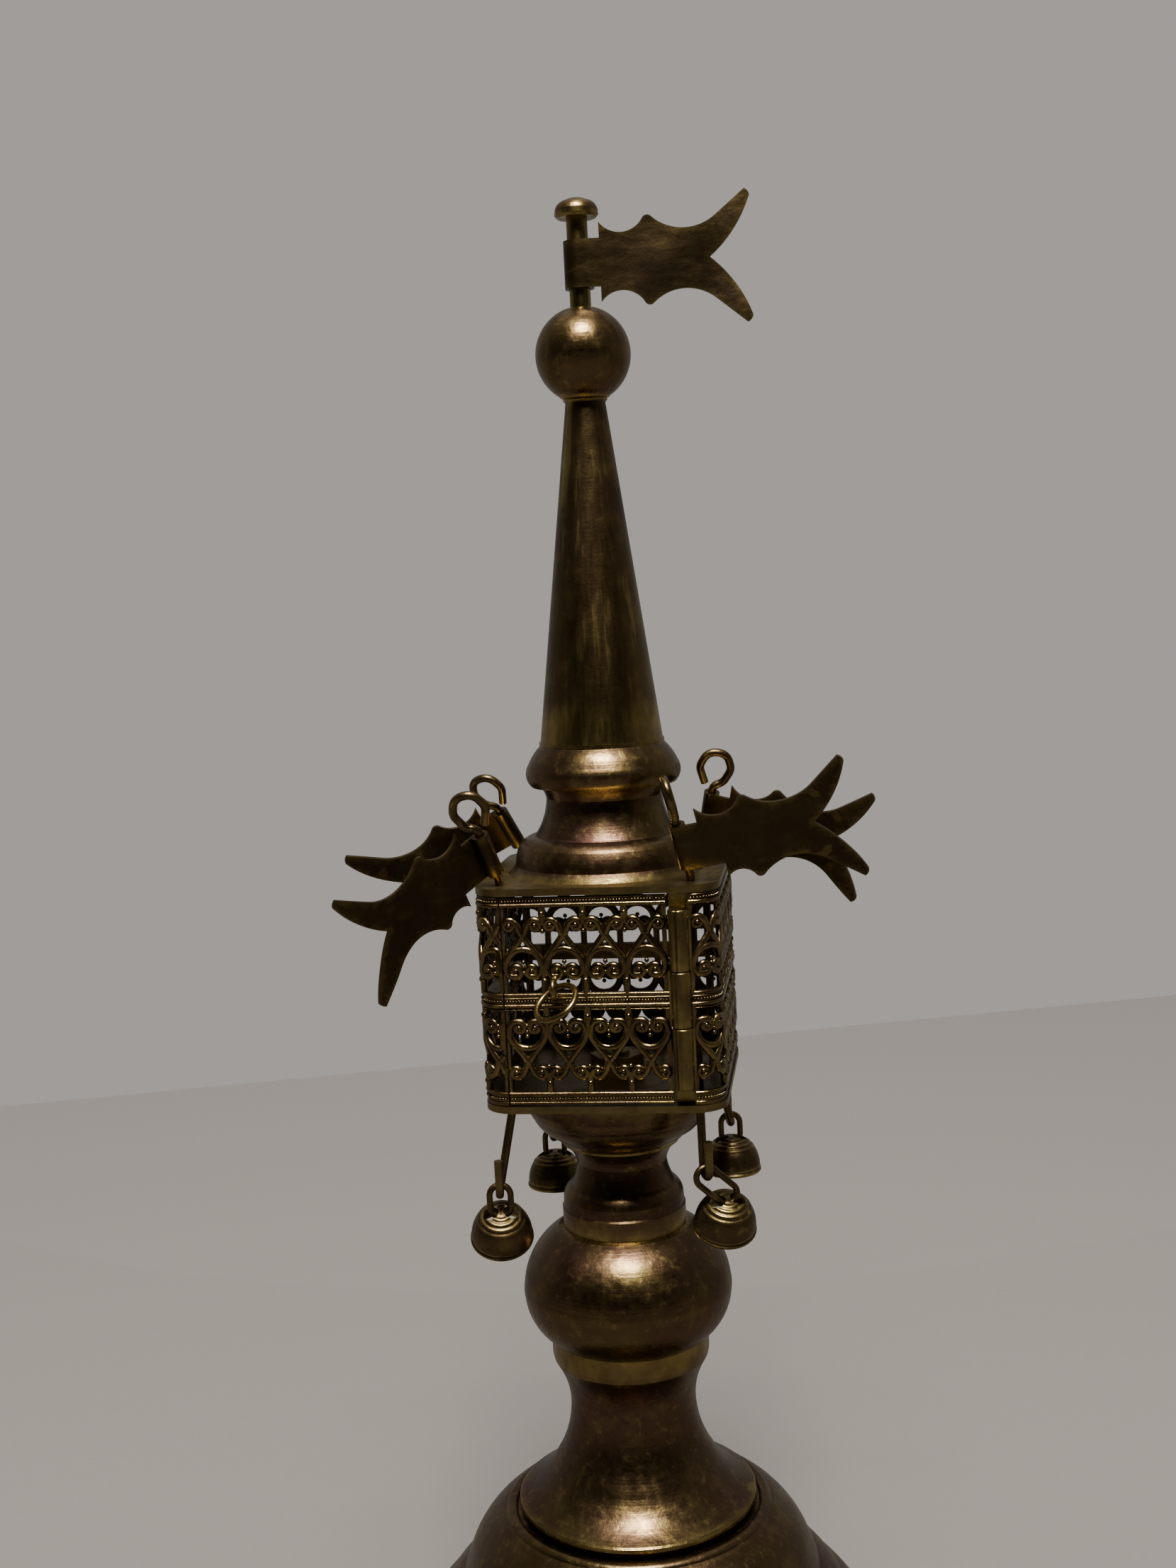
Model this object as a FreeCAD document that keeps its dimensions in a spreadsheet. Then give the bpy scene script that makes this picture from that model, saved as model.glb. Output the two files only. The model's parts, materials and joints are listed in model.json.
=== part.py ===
"""Brass spice tower: a turned foot and stem, a pierced box with a hinged door, a spire,
five pennants that swing on their pins, and four small bells on wire hooks.

The origin is the centre of the foot's resting face, +Z is up, and the door faces -Y.
"""
import FreeCAD, Part
import math
import os
import Sketcher
from FreeCAD import Placement, Rotation, Vector

doc = FreeCAD.newDocument("spice_tower")

# ---------------------------------------------------------------- driving dimensions (mm)
DRIVING = {
    # turned foot, neck, knop, stem and cup, from the table upwards
    "foot_radius": 30.0,
    "foot_height": 20.3,
    "foot_wall": 1.8,
    "step_radius": 21.9,
    "step_level": 11.1,
    "neck_radius": 14.45,
    "neck_waist": 7.58,
    "neck_top": 41.4,
    "knop_radius": 12.56,
    "knop_top": 54.9,
    "stem_waist": 5.35,
    "stem_top": 65.4,
    "cup_radius": 11.0,
    "cup_top": 72.4,
    "tie_rod_radius": 1.5,
    # the box: plates, walls and corner posts
    "box_half": 13.8,
    "box_bottom": 73.2,
    "box_top": 97.2,
    "plate_thick": 0.8,
    "wall_thick": 1.0,
    "corner_radius": 3.1,
    "slot_width": 2.4,
    "slot_pitch": 4.6,
    "rail_low": 2.6,
    "rail_middle": 2.4,
    "rail_high": 1.7,
    # door and its hinge
    "door_left": -10.5,
    "hinge_along": 9.3,
    "knuckle_radius": 1.15,
    "hinge_pin_radius": 0.55,
    "hinge_play": 0.05,
    "door_gap": 0.2,
    "knuckle_bottom": 75.2,
    "knuckle_low": 82.15,
    "knuckle_high": 88.45,
    "knuckle_top": 95.4,
    "latch_along": -4.7,
    "latch_level": 86.9,
    "eye_radius": 0.92,
    "eye_wire": 0.32,
    "ring_radius": 2.5,
    "ring_wire": 0.34,
    # roof, spire and finial
    "dome_radius": 11.7,
    "dome_top": 113.1,
    "spire_base": 7.15,
    "spire_tip": 2.3,
    "spire_top": 152.2,
    "ball_radius": 5.45,
    "ball_level": 157.05,
    "ball_top": 162.2,
    "pin_radius": 1.2,
    "cap_radius": 2.5,
    "cap_bottom": 172.2,
    "total_height": 174.4,
    # pennants
    "flag_reach": 19.4,
    "flag_half": 7.7,
    "flag_thick": 0.4,
    "tab_height": 5.3,
    "flag_play": 0.06,
    "flag_under": 4.3,
    # corner wires with their loops and hooks
    "rod_radius": 0.48,
    "rod_bend_level": 98.6,
    "hook_radius": 1.05,
    "hook_lip": 3.2,
    "loop_width": 3.9,
    "loop_height": 4.9,
    "loop_bend": 1.5,
    "bend_radius": 0.95,
    # links and bells
    "link_wire": 0.36,
    "link_radius": 1.2,
    "bell_radius": 3.65,
    "bell_height": 4.3,
    "bell_wall": 0.35,
    "bell_hang": 0.46,
    "bell_hole": 0.92,
    "bell_hole_offset": 1.17,
}

sheet = doc.addObject("Spreadsheet::Sheet", "dims")
for row, (alias, number) in enumerate(DRIVING.items(), start=1):
    sheet.set(f"A{row}", alias)
    sheet.set(f"B{row}", str(number))
    sheet.setAlias(f"B{row}", alias)
doc.recompute()


class Size:
    """A length that knows both its number and the sheet expression that gives it."""

    def __init__(self, number, text):
        self.number = number
        self.text = text

    @staticmethod
    def of(thing):
        return thing if isinstance(thing, Size) else Size(float(thing), repr(float(thing)))

    def __add__(self, other):
        other = Size.of(other)
        return Size(self.number + other.number, f"({self.text} + {other.text})")

    def __sub__(self, other):
        other = Size.of(other)
        return Size(self.number - other.number, f"({self.text} - {other.text})")

    def __mul__(self, other):
        other = Size.of(other)
        return Size(self.number * other.number, f"({self.text} * {other.text})")

    def __neg__(self):
        return Size(0.0, "0") - self


def size(alias):
    return Size(float(sheet.get(alias)), f"dims.{alias}")


def mm(alias):
    return size(alias).number


SUBPARTS = []


# ---------------------------------------------------------------- how pieces are made
def new_body(label):
    body = doc.addObject("PartDesign::Body", label)
    body.Label = label
    SUBPARTS.append(body)
    return body


def new_sketch(body, name, plane, lift=0.0):
    """A sketch on one of the body's own origin planes, lifted along the plane's normal."""
    sketch = body.newObject("Sketcher::SketchObject", name)
    origin_plane = next(item for item in body.Origin.OriginFeatures if item.Role == plane)
    sketch.AttachmentSupport = [(origin_plane, "")]
    sketch.MapMode = "FlatFace"
    lift = Size.of(lift)
    sketch.AttachmentOffset = Placement(Vector(0, 0, lift.number), Rotation())
    sketch.setExpression("AttachmentOffset.Base.z", lift.text)
    return sketch


def pin_point(sketch, geometry, end, x, y):
    """Ties one point of the sketch to its two sheet expressions."""
    for kind, along, axis in (("DistanceX", Size.of(x), -2), ("DistanceY", Size.of(y), -1)):
        if abs(along.number) < 1e-9:
            sketch.addConstraint(Sketcher.Constraint("PointOnObject", geometry, end, axis))
            continue
        index = sketch.addConstraint(Sketcher.Constraint(kind, -1, 1, geometry, end, along.number))
        sketch.setExpression(f"Constraints[{index}]", along.text)


def add_outline(sketch, corners, closed=True):
    """Lines and arcs through (x, y) corners. A third item bulges the next edge to its left,
    by that fraction of half the edge's length."""
    places = [(Size.of(item[0]), Size.of(item[1])) for item in corners]
    bulges = [item[2] if len(item) > 2 else 0.0 for item in corners]
    edge_count = len(corners) if closed else len(corners) - 1
    first = sketch.GeometryCount
    for index in range(edge_count):
        start = Vector(places[index][0].number, places[index][1].number, 0)
        after = places[(index + 1) % len(places)]
        end = Vector(after[0].number, after[1].number, 0)
        if bulges[index] == 0.0:
            sketch.addGeometry(Part.LineSegment(start, end))
            continue
        half = (end - start) * 0.5
        left = Vector(-half.y, half.x, 0)
        sketch.addGeometry(Part.Arc(start, start + half + left * bulges[index], end))
    for index in range(edge_count):
        # an arc that bulges to the right runs clockwise, so its own ends are swapped
        turned_round = bulges[index] > 0
        start_end = (2, 1) if turned_round else (1, 2)
        pin_point(sketch, first + index, start_end[0], *places[index])
        if closed or index < edge_count - 1:
            following = (index + 1) % edge_count
            next_start = 2 if bulges[following] > 0 else 1
            join = (first + index, start_end[1], first + following, next_start)
            sketch.addConstraint(Sketcher.Constraint("Coincident", *join))
        else:
            pin_point(sketch, first + index, start_end[1], *places[index + 1])


def add_circle(sketch, x, y, radius):
    x, y, radius = Size.of(x), Size.of(y), Size.of(radius)
    index = sketch.addGeometry(Part.Circle(Vector(x.number, y.number, 0), Vector(0, 0, 1), radius.number))
    pin_point(sketch, index, 3, x, y)
    ring = sketch.addConstraint(Sketcher.Constraint("Radius", index, radius.number))
    sketch.setExpression(f"Constraints[{ring}]", radius.text)


def pad(body, sketch, height):
    feature = body.newObject("PartDesign::Pad", sketch.Name + "_pad")
    feature.Profile = sketch
    height = Size.of(height)
    feature.Length = height.number
    feature.setExpression("Length", height.text)
    sketch.Visibility = False
    return feature


def turned(label, half_section):
    """A piece turned about +Z from its half section, given as (radius, height) corners."""
    body = new_body(label)
    sketch = new_sketch(body, label + "_section", "XZ_Plane")
    add_outline(sketch, half_section)
    feature = body.newObject("PartDesign::Revolution", label + "_turning")
    feature.Profile = sketch
    feature.ReferenceAxis = (sketch, ["V_Axis"])
    feature.Angle = 360.0
    return body


def lift_to(body, level):
    """Raises a piece to a level of the sheet."""
    body.Placement = Placement(Vector(0, 0, level.number), Rotation())
    body.setExpression("Placement.Base.z", level.text)


def cylinder(name, radius, height):
    piece = doc.addObject("Part::Cylinder", name)
    for field, value in (("Radius", Size.of(radius)), ("Height", Size.of(height))):
        setattr(piece, field, value.number)
        piece.setExpression(field, value.text)
    return piece


def block(name, length, width, height, corner):
    piece = doc.addObject("Part::Box", name)
    for field, value in (("Length", length), ("Width", width), ("Height", height)):
        value = Size.of(value)
        setattr(piece, field, value.number)
        piece.setExpression(field, value.text)
    piece.Placement.Base = Vector(*[Size.of(value).number for value in corner])
    for axis, value in zip("xyz", corner):
        piece.setExpression(f"Placement.Base.{axis}", Size.of(value).text)
    return piece


def combined(kind, label, first, second):
    """A Part boolean of two features, kept as one sub-part."""
    piece = doc.addObject(kind, label)
    if kind == "Part::Cut":
        piece.Base = first
        piece.Tool = second
    else:
        piece.Shapes = [first, second]
    return piece


def keep(piece, label):
    piece.Label = label
    SUBPARTS.append(piece)
    return piece


def rounded_wire(points, radii):
    """Straight runs between the points, with a tangent arc of its own radius at each inner point."""
    edges = []
    here = points[0]
    for before, corner, after, radius in zip(points, points[1:], points[2:], radii):
        into = (corner - before).normalize()
        out = (after - corner).normalize()
        half_turn = into.getAngle(out) / 2
        setback = radius * math.tan(half_turn)
        start = corner - into * setback
        end = corner + out * setback
        inward = (out - into).normalize()
        middle = corner + inward * (radius / math.cos(half_turn) - radius)
        if (start - here).Length > 1e-6:
            edges.append(Part.LineSegment(here, start).toShape())
        edges.append(Part.Arc(start, middle, end).toShape())
        here = end
    edges.append(Part.LineSegment(here, points[-1]).toShape())
    return Part.Wire(edges)


def bent_wire(label, points, radii, wire_radius):
    """A round wire bent along the points, as one solid."""
    spine = rounded_wire(points, radii)
    along = (points[1] - points[0]).normalize()
    section = Part.Wire(Part.Circle(points[0], along, wire_radius).toShape())
    piece = doc.addObject("Part::Feature", label)
    piece.Shape = spine.makePipeShell([section], True, False)
    return keep(piece, label)


# ---------------------------------------------------------------- foot, stem and cup
def foot():
    """The cast foot: two convex steps, a ring round the neck, hollow underneath."""
    rim = size("foot_radius")
    top = size("foot_height")
    wall = size("foot_wall")
    step = size("step_radius")
    level = size("step_level")
    bore = size("tie_rod_radius")
    seat = size("neck_radius")
    turned("base_foot", [
        (rim - 1.6, 0), (rim - 0.3, 0, -0.3), (rim, 1.1, -0.35), (rim - 0.7, 2.3), (rim - 1.4, 2.6, -0.14),
        (rim - 4.9, 7.4, -0.12), (step + 0.3, level - 0.2), (step - 0.05, level, -0.06),
        (step - 0.9, level + 2.5, -0.16), (seat + 2.15, top - 1.0), (seat + 1.75, top - 0.8, -0.5),
        (seat + 0.45, top - 0.4), (seat + 0.3, top - 0.7), (seat - 1.0, top - 0.7),
        (seat - 1.0, top), (bore, top), (bore, top - 3.0), (seat - 1.0, top - 2.6),
        (step - wall - 0.6, level), (rim - 5.0 - wall, 5.8, 0.12), (rim - 1.8, 1.2),
    ])


def neck():
    """The trumpet-shaped neck that rises from the foot to a lipped collar."""
    flare = size("neck_radius")
    waist = size("neck_waist")
    top = size("neck_top")
    seat = size("foot_height")
    bore = size("tie_rod_radius")
    turned("base_neck", [
        (bore, seat), (flare - 0.35, seat), (flare, seat + 0.35), (flare, seat + 0.8),
        (flare - 0.2, seat + 1.0, 0.17), (flare - 4.7, seat + 5.3, 0.14), (waist, seat + 12.5, 0.13),
        (waist + 1.3, top - 3.7), (waist + 1.75, top - 2.9), (waist + 1.9, top - 2.2),
        (waist + 1.9, top - 0.1), (waist + 1.8, top), (bore, top),
    ])


def knop():
    """The cushion-shaped knop."""
    belly = size("knop_radius")
    bottom = size("neck_top")
    top = size("knop_top")
    bore = size("tie_rod_radius")
    turned("knop", [
        (bore, bottom), (belly - 2.95, bottom, -0.22), (belly - 0.1, bottom + 4.9, -0.1),
        (belly - 0.1, bottom + 6.5, -0.25), (belly - 4.6, top - 0.15), (belly - 5.1, top), (bore, top),
    ])


def stem():
    """The slim upper stem: a straight band, then a waist under the cup."""
    waist = size("stem_waist")
    bottom = size("knop_top")
    top = size("stem_top")
    bore = size("tie_rod_radius")
    turned("stem", [
        (bore, bottom), (waist + 2.0, bottom), (waist + 2.05, bottom + 2.3), (waist + 1.9, bottom + 2.5),
        (waist + 1.85, bottom + 3.6, -0.25), (waist + 0.8, bottom + 5.2, 0.1), (waist, bottom + 7.8, 0.16),
        (waist + 1.2, top - 0.55), (waist + 1.6, top - 0.3), (waist + 1.6, top), (bore, top),
    ])


def cup():
    """The small cup that carries the box's floor."""
    lip = size("cup_radius")
    bottom = size("stem_top")
    top = size("cup_top")
    bore = size("tie_rod_radius")
    turned("cup", [
        (bore, bottom), (lip - 3.9, bottom), (lip - 3.3, bottom + 0.5), (lip - 3.0, bottom + 0.9, -0.2),
        (lip - 0.6, bottom + 3.2, -0.12), (lip, top - 2.4), (lip, top - 0.4), (lip + 0.2, top), (bore, top),
    ])


def hexagon_nut(label, across, height, bore, level):
    """A hexagon nut, given by its width across the corners."""
    prism = doc.addObject("Part::Prism", label + "_blank")
    prism.Polygon = 6
    prism.Circumradius = across / 2
    prism.Height = height
    hole = cylinder(label + "_bore", bore, height)
    nut = combined("Part::Cut", label, prism, hole)
    lift_to(nut, level)
    keep(nut, label)


def tie_rod():
    """The rod that pulls foot, neck, knop, stem, cup and floor together, with its two nuts."""
    nut_height = 2.4
    start = size("foot_height") - 3.0
    low_end = start - nut_height - 1.0
    floor_top = size("box_bottom")
    rod = cylinder("tie_rod_bar", size("tie_rod_radius"), floor_top + nut_height + 0.4 - low_end)
    lift_to(rod, low_end)
    keep(rod, "tie_rod")
    hexagon_nut("base_nut", 6.4, nut_height, size("tie_rod_radius"), start - nut_height)
    hexagon_nut("floor_nut", 6.4, nut_height, size("tie_rod_radius"), floor_top)


# ---------------------------------------------------------------- the box
QUARTER = math.tan(math.radians(22.5))


def plate(label, level, centre_bore):
    """A square plate with round corners, a centre bore and a hole for each corner wire."""
    half = size("box_half")
    corner = size("corner_radius") + 0.5
    flat = half - corner
    body = new_body(label)
    sketch = new_sketch(body, label + "_outline", "XY_Plane")
    add_outline(sketch, [
        (-flat, -half), (flat, -half, -QUARTER), (half, -flat), (half, flat, -QUARTER),
        (flat, half), (-flat, half, -QUARTER), (-half, flat), (-half, -flat, -QUARTER),
    ])
    add_circle(sketch, 0, 0, centre_bore)
    for wire in WIRES.values():
        add_circle(sketch, *wire["stand"], size("rod_radius"))
    pad(body, sketch, size("plate_thick"))
    lift_to(body, level)


def corner_post(name, quarter_turns):
    """A quarter-round corner of the box, from floor to roof."""
    outer = size("corner_radius")
    inner = outer - size("wall_thick")
    centre = size("box_half") - outer
    body = new_body("corner_post_" + name)
    sketch = new_sketch(body, name + "_arc", "XY_Plane", size("box_bottom"))
    add_outline(sketch, [
        (centre + inner, centre), (centre + outer, centre, -QUARTER),
        (centre, centre + outer), (centre, centre + inner, QUARTER),
    ])
    pad(body, sketch, size("box_top") - size("box_bottom"))
    body.Placement = Placement(Vector(), Rotation(Vector(0, 0, 1), 90 * quarter_turns))


def add_slots(sketch, first_along, count):
    """Two tiers of round-ended slots between the low, middle and high rails."""
    bottom = size("box_bottom") + size("rail_low")
    top = size("box_top") - size("rail_high")
    middle = (bottom + top) * 0.5
    half_rail = size("rail_middle") * 0.5
    half_width = size("slot_width") * 0.5
    for index in range(count):
        along = first_along + size("slot_pitch") * index
        for low, high in ((bottom, middle - half_rail), (middle + half_rail, top)):
            add_outline(sketch, [
                (along + half_width, low + half_width), (along + half_width, high - half_width, -1.0),
                (along - half_width, high - half_width), (along - half_width, low + half_width, -1.0),
            ])


def wall(label, turn):
    """A pierced panel between two corner posts."""
    outer = size("box_half")
    half = outer - size("corner_radius")
    bottom = size("box_bottom")
    top = size("box_top")
    body = new_body(label)
    sketch = new_sketch(body, label + "_face", "XZ_Plane", outer - size("wall_thick"))
    add_outline(sketch, [(-half, bottom), (half, bottom), (half, top), (-half, top)])
    add_slots(sketch, size("slot_pitch") * -1.5, 4)
    pad(body, sketch, size("wall_thick"))
    body.Placement = Placement(Vector(), Rotation(Vector(0, 0, 1), turn))


# ---------------------------------------------------------------- door, hinge and pull
def door_panel():
    """The pierced door, just inside the front corner posts and the two plates."""
    outer = size("box_half")
    gap = size("door_gap")
    left = size("door_left")
    right = size("hinge_along") - size("knuckle_radius") - gap
    bottom = size("box_bottom") + gap
    top = size("box_top") - gap
    body = new_body("door_panel")
    sketch = new_sketch(body, "door_face", "XZ_Plane", outer - size("wall_thick"))
    add_outline(sketch, [(left, bottom), (right, bottom), (right, top), (left, top)])
    add_slots(sketch, (left + right) * 0.5 - size("slot_pitch") * 1.5, 4)
    pad(body, sketch, size("wall_thick"))


def knuckle(label, low, high, side, bore):
    """One hinge barrel with the tab that holds it: side -1 towards the door, 1 towards the case."""
    radius = size("knuckle_radius")
    reach = radius + size("door_gap")
    wall_thick = size("wall_thick")
    axis_y = -size("box_half")
    barrel = cylinder(label + "_barrel", radius, high - low)
    barrel.Placement.Base = Vector(mm("hinge_along"), axis_y.number, low.number)
    hole = cylinder(label + "_bore", bore, high - low)
    hole.Placement.Base = barrel.Placement.Base
    for piece in (barrel, hole):
        piece.setExpression("Placement.Base.x", "dims.hinge_along")
        piece.setExpression("Placement.Base.y", axis_y.text)
        piece.setExpression("Placement.Base.z", low.text)
    start = size("hinge_along") - reach if side < 0 else size("hinge_along")
    tab = block(label + "_tab", reach, wall_thick, high - low, (start, axis_y, low))
    joined = combined("Part::MultiFuse", label + "_joined", barrel, tab)
    keep(combined("Part::Cut", label, joined, hole), label)


def hinge():
    """Three barrels on one pin: the door's turns between the two of the case."""
    play = size("hinge_play")
    pin = size("hinge_pin_radius")
    knuckle("case_knuckle_lower", size("knuckle_bottom"), size("knuckle_low") - play, 1, pin)
    knuckle("door_knuckle", size("knuckle_low"), size("knuckle_high"), -1, pin + play)
    knuckle("case_knuckle_upper", size("knuckle_high") + play, size("knuckle_top"), 1, pin)
    rod = cylinder("hinge_pin_bar", pin, size("knuckle_top") - size("knuckle_bottom"))
    rod.Placement.Base = Vector(mm("hinge_along"), -mm("box_half"), mm("knuckle_bottom"))
    rod.setExpression("Placement.Base.x", "dims.hinge_along")
    rod.setExpression("Placement.Base.y", "-dims.box_half")
    rod.setExpression("Placement.Base.z", "dims.knuckle_bottom")
    keep(rod, "hinge_pin")


RING_SWING = 62.0
RING_ROLL = 28.0


def door_pull():
    """A wire eye on the door's middle rail, and the round ring that hangs in it."""
    face = -mm("box_half")
    level = mm("latch_level")
    along = mm("latch_along")
    eye = mm("eye_radius")
    points = [Vector(along, face, level - eye), Vector(along, face - 2 * eye, level - eye),
              Vector(along, face - 2 * eye, level + eye), Vector(along, face, level + eye)]
    bent_wire("door_eye", points, [eye, eye], mm("eye_wire"))
    ring = doc.addObject("Part::Torus", "ring_wire_loop")
    ring.Radius1 = mm("ring_radius")
    ring.Radius2 = mm("ring_wire")
    ring.setExpression("Radius1", "dims.ring_radius")
    ring.setExpression("Radius2", "dims.ring_wire")
    hang = Vector(along, face - eye, level)
    roll = Rotation(Vector(0, 1, 0), -RING_ROLL)
    swing = Rotation(Vector(1, 0, 0), -RING_SWING)
    upright = Rotation(Vector(1, 0, 0), 90)
    centre = hang + roll.multVec(swing.multVec(Vector(0, 0, -mm("ring_radius"))))
    ring.Placement = Placement(centre, roll.multiply(swing).multiply(upright))
    keep(ring, "door_ring")


# ---------------------------------------------------------------- roof, spire and finial
def roof_dome():
    """The domed roof with its scotia and bead, under the spire."""
    base = size("dome_radius")
    bottom = size("box_top") + size("plate_thick")
    top = size("dome_top")
    bore = size("tie_rod_radius")
    turned("roof_dome", [
        (bore, bottom), (base, bottom), (base - 0.9, bottom + 0.9, -0.12), (base - 1.5, bottom + 3.2, -0.22),
        (base - 3.3, bottom + 4.2), (base - 3.45, bottom + 4.35, 0.14), (base - 4.9, bottom + 8.6, 0.1),
        (base - 4.3, top - 5.2), (base - 3.2, top - 5.1, -0.35), (base - 2.95, top - 2.6, -0.1),
        (base - 4.4, top - 0.5), (base - 4.4, top), (bore, top),
    ])


def spire():
    """The plain cone, with a fine ring under the ball."""
    base = size("spire_base")
    tip = size("spire_tip")
    bottom = size("dome_top")
    top = size("spire_top")
    bore = size("tie_rod_radius")
    blind = bottom + 24.0
    turned("spire", [
        (bore, bottom), (base, bottom), (tip, top - 0.5), (tip + 0.25, top - 0.25), (tip + 0.2, top),
        (size("pin_radius"), top), (size("pin_radius"), top - 5.0), (0, top - 5.0), (0, blind), (bore, blind),
    ])
    stud_start = size("box_top") - 3.2
    stud = cylinder("spire_stud_bar", bore, blind - stud_start)
    lift_to(stud, stud_start)
    keep(stud, "spire_stud")
    hexagon_nut("ceiling_nut", 6.4, 2.4, bore, size("box_top") - 2.4)


def finial():
    """The ball, the pin that carries the top pennant, and the cap that keeps it on."""
    radius = size("ball_radius")
    level = size("ball_level")
    bottom = size("spire_top")
    top = size("ball_top")
    pin = size("pin_radius")
    low_angle = math.asin((mm("ball_level") - mm("spire_top") - 0.3) / mm("ball_radius"))
    high_angle = math.asin((mm("ball_top") - mm("ball_level")) / mm("ball_radius"))
    low_cut = radius * math.cos(low_angle)
    high_cut = radius * math.cos(high_angle)
    turned("ball", [
        (pin, bottom), (low_cut - 0.3, bottom), (low_cut, bottom + 0.3, -math.tan(low_angle / 4)),
        (radius, level, -math.tan(high_angle / 4)), (high_cut, top), (pin, top),
    ])
    rod = cylinder("finial_pin_bar", pin, size("cap_bottom") + 1.2 - (bottom - 5.0))
    lift_to(rod, bottom - 5.0)
    keep(rod, "finial_pin")
    cap = size("cap_radius")
    low = size("cap_bottom")
    high = size("total_height")
    turned("finial_cap", [
        (pin, low), (cap - 0.3, low), (cap, low + 0.3), (cap - 0.05, low + 0.9, -0.3),
        (cap - 1.2, high - 0.25, -0.1), (cap - 1.9, high), (0, high), (0, low + 1.2), (pin, low + 1.2),
    ])


# ---------------------------------------------------------------- pennants
def pennant(label, pin, place, under_start):
    """A swallow-tailed pennant with a scalloped edge, rolled at its tab round a pin."""
    inner = Size.of(pin) + size("flag_play")
    thick = size("flag_thick")
    reach = size("flag_reach")
    half = size("flag_half")
    tab = size("tab_height") * 0.5
    body = new_body(label)
    sheet_sketch = new_sketch(body, label + "_sheet", "XZ_Plane", inner)

    def edge(side, start):
        """One long edge, from the tab to the tip: side is 1 above the middle line, -1 below."""
        sign = float(side)
        return [
            (0, tab * sign), (start, tab * sign), (start, half * (0.57 * sign), -0.55 * side),
            (reach * 0.38, half * (0.61 * sign), 0.45 * side),
            (reach * 0.43, half * (0.61 * sign), -0.38 * side),
            (reach * 0.8, half * (0.6 * sign)), (reach * 0.97, half * (0.95 * sign), 0.3 * side),
            (reach, half * (0.85 * sign), 0.14 * side),
        ]

    upper = edge(1, size("tab_height") * 0.45)
    lower = edge(-1, Size.of(under_start))
    # the lower edge is walked back to the tab, so each bulge moves to the corner before it
    back = []
    for index in range(len(lower) - 1, -1, -1):
        x, y = lower[index][0], lower[index][1]
        before = lower[index - 1] if index > 0 else ()
        back.append((x, y, -before[2]) if len(before) > 2 else (x, y))
    add_outline(sheet_sketch, upper + [(reach * 0.76, 0, 0.14)] + back)
    pad(body, sheet_sketch, thick)
    roll_sketch = new_sketch(body, label + "_roll", "XY_Plane", -tab)
    add_circle(roll_sketch, 0, 0, inner + thick)
    add_circle(roll_sketch, 0, 0, inner)
    pad(body, roll_sketch, tab * 2)
    body.Placement = place


def leaning_axis(tilt, towards):
    """The unit axis of a pin that leans from +Z by tilt, towards a compass angle in degrees."""
    lean = math.radians(tilt)
    turn = math.radians(towards)
    return Vector(math.sin(lean) * math.cos(turn), math.sin(lean) * math.sin(turn), math.cos(lean))


def on_pin(centre, axis, azimuth):
    """The place of a pennant on its pin, pointing towards a compass angle in degrees."""
    turn = math.radians(azimuth)
    aim = Vector(math.cos(turn), math.sin(turn), 0)
    along = (aim - axis * aim.dot(axis)).normalize()
    return Placement(centre, Rotation(along, axis.cross(along), axis, "ZXY"))


# ---------------------------------------------------------------- corner wires, links, bells
# Each corner wire: where it stands, the lean of its upper end and the compass angle of the lean,
# the height of its pennant along the leaning end and the pennant's compass angle, the compass
# angles of the loop's plane and of the hook, the hook's place, the link's slant and length, and
# how far the bell has rocked on its link.
WIRES = {
    "front_left": {
        "stand": (-11.0, -10.7), "tilt": 28, "lean": -118, "flag_at": 3.6, "flag": -130, "loop": 185,
        "hook": -78, "hook_at": (-12.6, -12.2, 63.6), "slant": 0, "straight": 1.3, "rock": 28,
    },
    "front_right": {
        "stand": (10.6, -10.6), "tilt": 20, "lean": -122, "flag_at": 3.7, "flag": 0, "loop": 100,
        "hook": -68, "hook_at": (11.1, -12.2, 65.7), "slant": 46, "straight": 3.2, "rock": 24,
    },
    "back_right": {
        "stand": (10.6, 10.6), "tilt": 22, "lean": -60, "flag_at": 4.8, "flag": -10, "loop": 5,
        "hook": 105, "hook_at": (12.3, 12.0, 64.3), "slant": 0, "straight": 1.3, "rock": 0,
    },
    "back_left": {
        "stand": (-12.0, 10.7), "tilt": 34, "lean": -125, "flag_at": 3.8, "flag": -158, "loop": 175,
        "hook": 95, "hook_at": (-10.2, 12.2, 62.4), "slant": 0, "straight": 1.3, "rock": 0,
    },
}


def flat_direction(angle):
    turn = math.radians(angle)
    return Vector(math.cos(turn), math.sin(turn), 0)


def corner_set(name):
    """One corner wire with its loop and hook, its pennant, its link and its bell."""
    wire = WIRES[name]
    stand_x, stand_y = wire["stand"]
    bend = Vector(stand_x, stand_y, mm("rod_bend_level"))
    under_floor = Vector(stand_x, stand_y, mm("cup_top") - 0.9)
    axis = leaning_axis(wire["tilt"], wire["lean"])
    flag_centre = bend + axis * wire["flag_at"]
    tab_top = flag_centre + axis * (mm("tab_height") / 2 + 0.95)
    hook = mm("hook_radius")
    outward = flat_direction(wire["hook"])
    turn_centre = Vector(*wire["hook_at"])
    under = Vector(0, 0, -hook)
    lip = turn_centre + outward * hook + Vector(0, 0, mm("hook_lip"))
    points = [lip, turn_centre + outward * hook + under, turn_centre - outward * hook + under,
              under_floor, bend, tab_top]
    loop = top_loop(tab_top, axis, wire)
    radii = [mm("bend_radius")] * (len(points) - 1) + [mm("loop_bend")] * (len(loop) - 1)
    bent_wire("corner_rod_" + name, points + loop, radii, mm("rod_radius"))
    pennant("flag_" + name, mm("rod_radius"), on_pin(flag_centre, axis, wire["flag"]), size("flag_under"))
    bell(name, link(name, turn_centre, wire), wire)


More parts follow.
